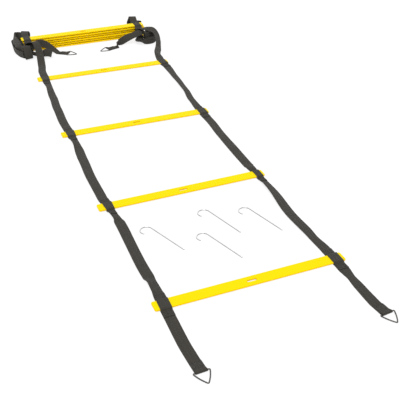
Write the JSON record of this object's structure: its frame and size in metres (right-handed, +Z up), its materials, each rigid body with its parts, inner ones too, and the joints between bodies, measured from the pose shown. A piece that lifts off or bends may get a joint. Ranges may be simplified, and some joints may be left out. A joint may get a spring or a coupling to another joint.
{
  "type": "agility ladder",
  "caption": "Partly folded agility ladder: yellow flat rungs sewn between two charcoal webbing straps, triangular wire rings at the strap ends, and loose hooked ground pegs.",
  "frame": {"origin": "middle of the footprint, on the floor", "axes": "+Y along the ladder from its laid-out near end towards the stacked rungs, +X to the right along the rungs, +Z up"},
  "size_m": [0.5012, 1.8654, 0.0558],
  "materials": {
    "rung": "moulded, slight sheen",
    "webbing": "woven polyester webbing",
    "patch": "woven polyester webbing",
    "ring": "bright plated wire",
    "peg": "zinc plated wire"
  },
  "bodies": {
    "bundle": {"rung_5": "rung", "rung_6": "rung", "rung_7": "rung", "rung_8": "rung", "rung_9": "rung", "rung_10": "rung", "strap_left_bundle": "webbing", "strap_right_bundle": "webbing"},
    "back_ring_left": {"ring_back_left": "ring"},
    "back_ring_right": {"ring_back_right": "ring"},
    "bay_4": {"strap_left_bay_4": "webbing", "strap_right_bay_4": "webbing", "rung_4": "rung", "patch_4_left": "patch", "patch_4_right": "patch"},
    "bay_3": {"strap_left_bay_3": "webbing", "strap_right_bay_3": "webbing", "rung_3": "rung", "patch_3_left": "patch", "patch_3_right": "patch"},
    "bay_2": {"strap_left_bay_2": "webbing", "strap_right_bay_2": "webbing", "rung_2": "rung", "patch_2_left": "patch", "patch_2_right": "patch"},
    "bay_1": {"strap_left_bay_1": "webbing", "strap_right_bay_1": "webbing", "rung_1": "rung", "patch_1_left": "patch", "patch_1_right": "patch"},
    "tail_left": {"strap_left_tail": "webbing"},
    "front_ring_left": {"ring_front_left": "ring"},
    "tail_right": {"strap_right_tail": "webbing"},
    "front_ring_right": {"ring_front_right": "ring"},
    "peg_1_body": {"peg_1": "peg"},
    "peg_2_body": {"peg_2": "peg"},
    "peg_3_body": {"peg_3": "peg"},
    "peg_4_body": {"peg_4": "peg"}
  },
  "joints": [
    {"name": "ring_back_left_swing", "type": "hinge", "parent": "bundle", "child": "back_ring_left", "pos_m": [-0.0768, 0.70725, 0.0029], "axis": [-0.5592, -0.829, 0], "range_deg": [0, 120]},
    {"name": "ring_back_right_swing", "type": "hinge", "parent": "bundle", "child": "back_ring_right", "pos_m": [0.06117, 0.69343, 0.0029], "axis": [-0.2756, 0.9613, 0], "range_deg": [0, 120]},
    {"name": "bay_4_lift", "type": "hinge", "parent": "bundle", "child": "bay_4", "pos_m": [-0.00236, 0.62434, 0.0012], "axis": [-1, 0, 0], "range_deg": [0, 60]},
    {"name": "bay_3_lift", "type": "hinge", "parent": "bay_4", "child": "bay_3", "pos_m": [-0.00236, 0.46634, 0.0012], "axis": [-1, 0, 0], "range_deg": [0, 60]},
    {"name": "bay_2_lift", "type": "hinge", "parent": "bay_3", "child": "bay_2", "pos_m": [-0.00236, 0.05874, 0.0012], "axis": [-1, 0, 0], "range_deg": [0, 60]},
    {"name": "bay_1_lift", "type": "hinge", "parent": "bay_2", "child": "bay_1", "pos_m": [-0.00236, -0.34206, 0.0012], "axis": [-1, 0, 0], "range_deg": [0, 110]},
    {"name": "tail_left_lift", "type": "hinge", "parent": "bay_1", "child": "tail_left", "pos_m": [-0.19636, -0.73726, 0.0012], "axis": [-1, 0, 0], "range_deg": [0, 110]},
    {"name": "ring_front_left_swing", "type": "hinge", "parent": "tail_left", "child": "front_ring_left", "pos_m": [-0.19344, -0.90126, 0.0029], "axis": [-0.9976, -0.0698, 0], "range_deg": [0, 120]},
    {"name": "tail_right_lift", "type": "hinge", "parent": "bay_1", "child": "tail_right", "pos_m": [0.19614, -0.73726, 0.0012], "axis": [-1, 0, 0], "range_deg": [0, 110]},
    {"name": "ring_front_right_swing", "type": "hinge", "parent": "tail_right", "child": "front_ring_right", "pos_m": [0.20226, -0.88486, 0.0029], "axis": [-0.9903, -0.1392, 0], "range_deg": [0, 120]},
    {"name": "peg_1_lift", "type": "slide", "parent": "bundle", "child": "peg_1_body", "axis": [0, 0, 1], "range_m": [0, 0.15]},
    {"name": "peg_2_lift", "type": "slide", "parent": "bundle", "child": "peg_2_body", "axis": [0, 0, 1], "range_m": [0, 0.15]},
    {"name": "peg_3_lift", "type": "slide", "parent": "bundle", "child": "peg_3_body", "axis": [0, 0, 1], "range_m": [0, 0.15]},
    {"name": "peg_4_lift", "type": "slide", "parent": "bundle", "child": "peg_4_body", "axis": [0, 0, 1], "range_m": [0, 0.15]}
  ]
}
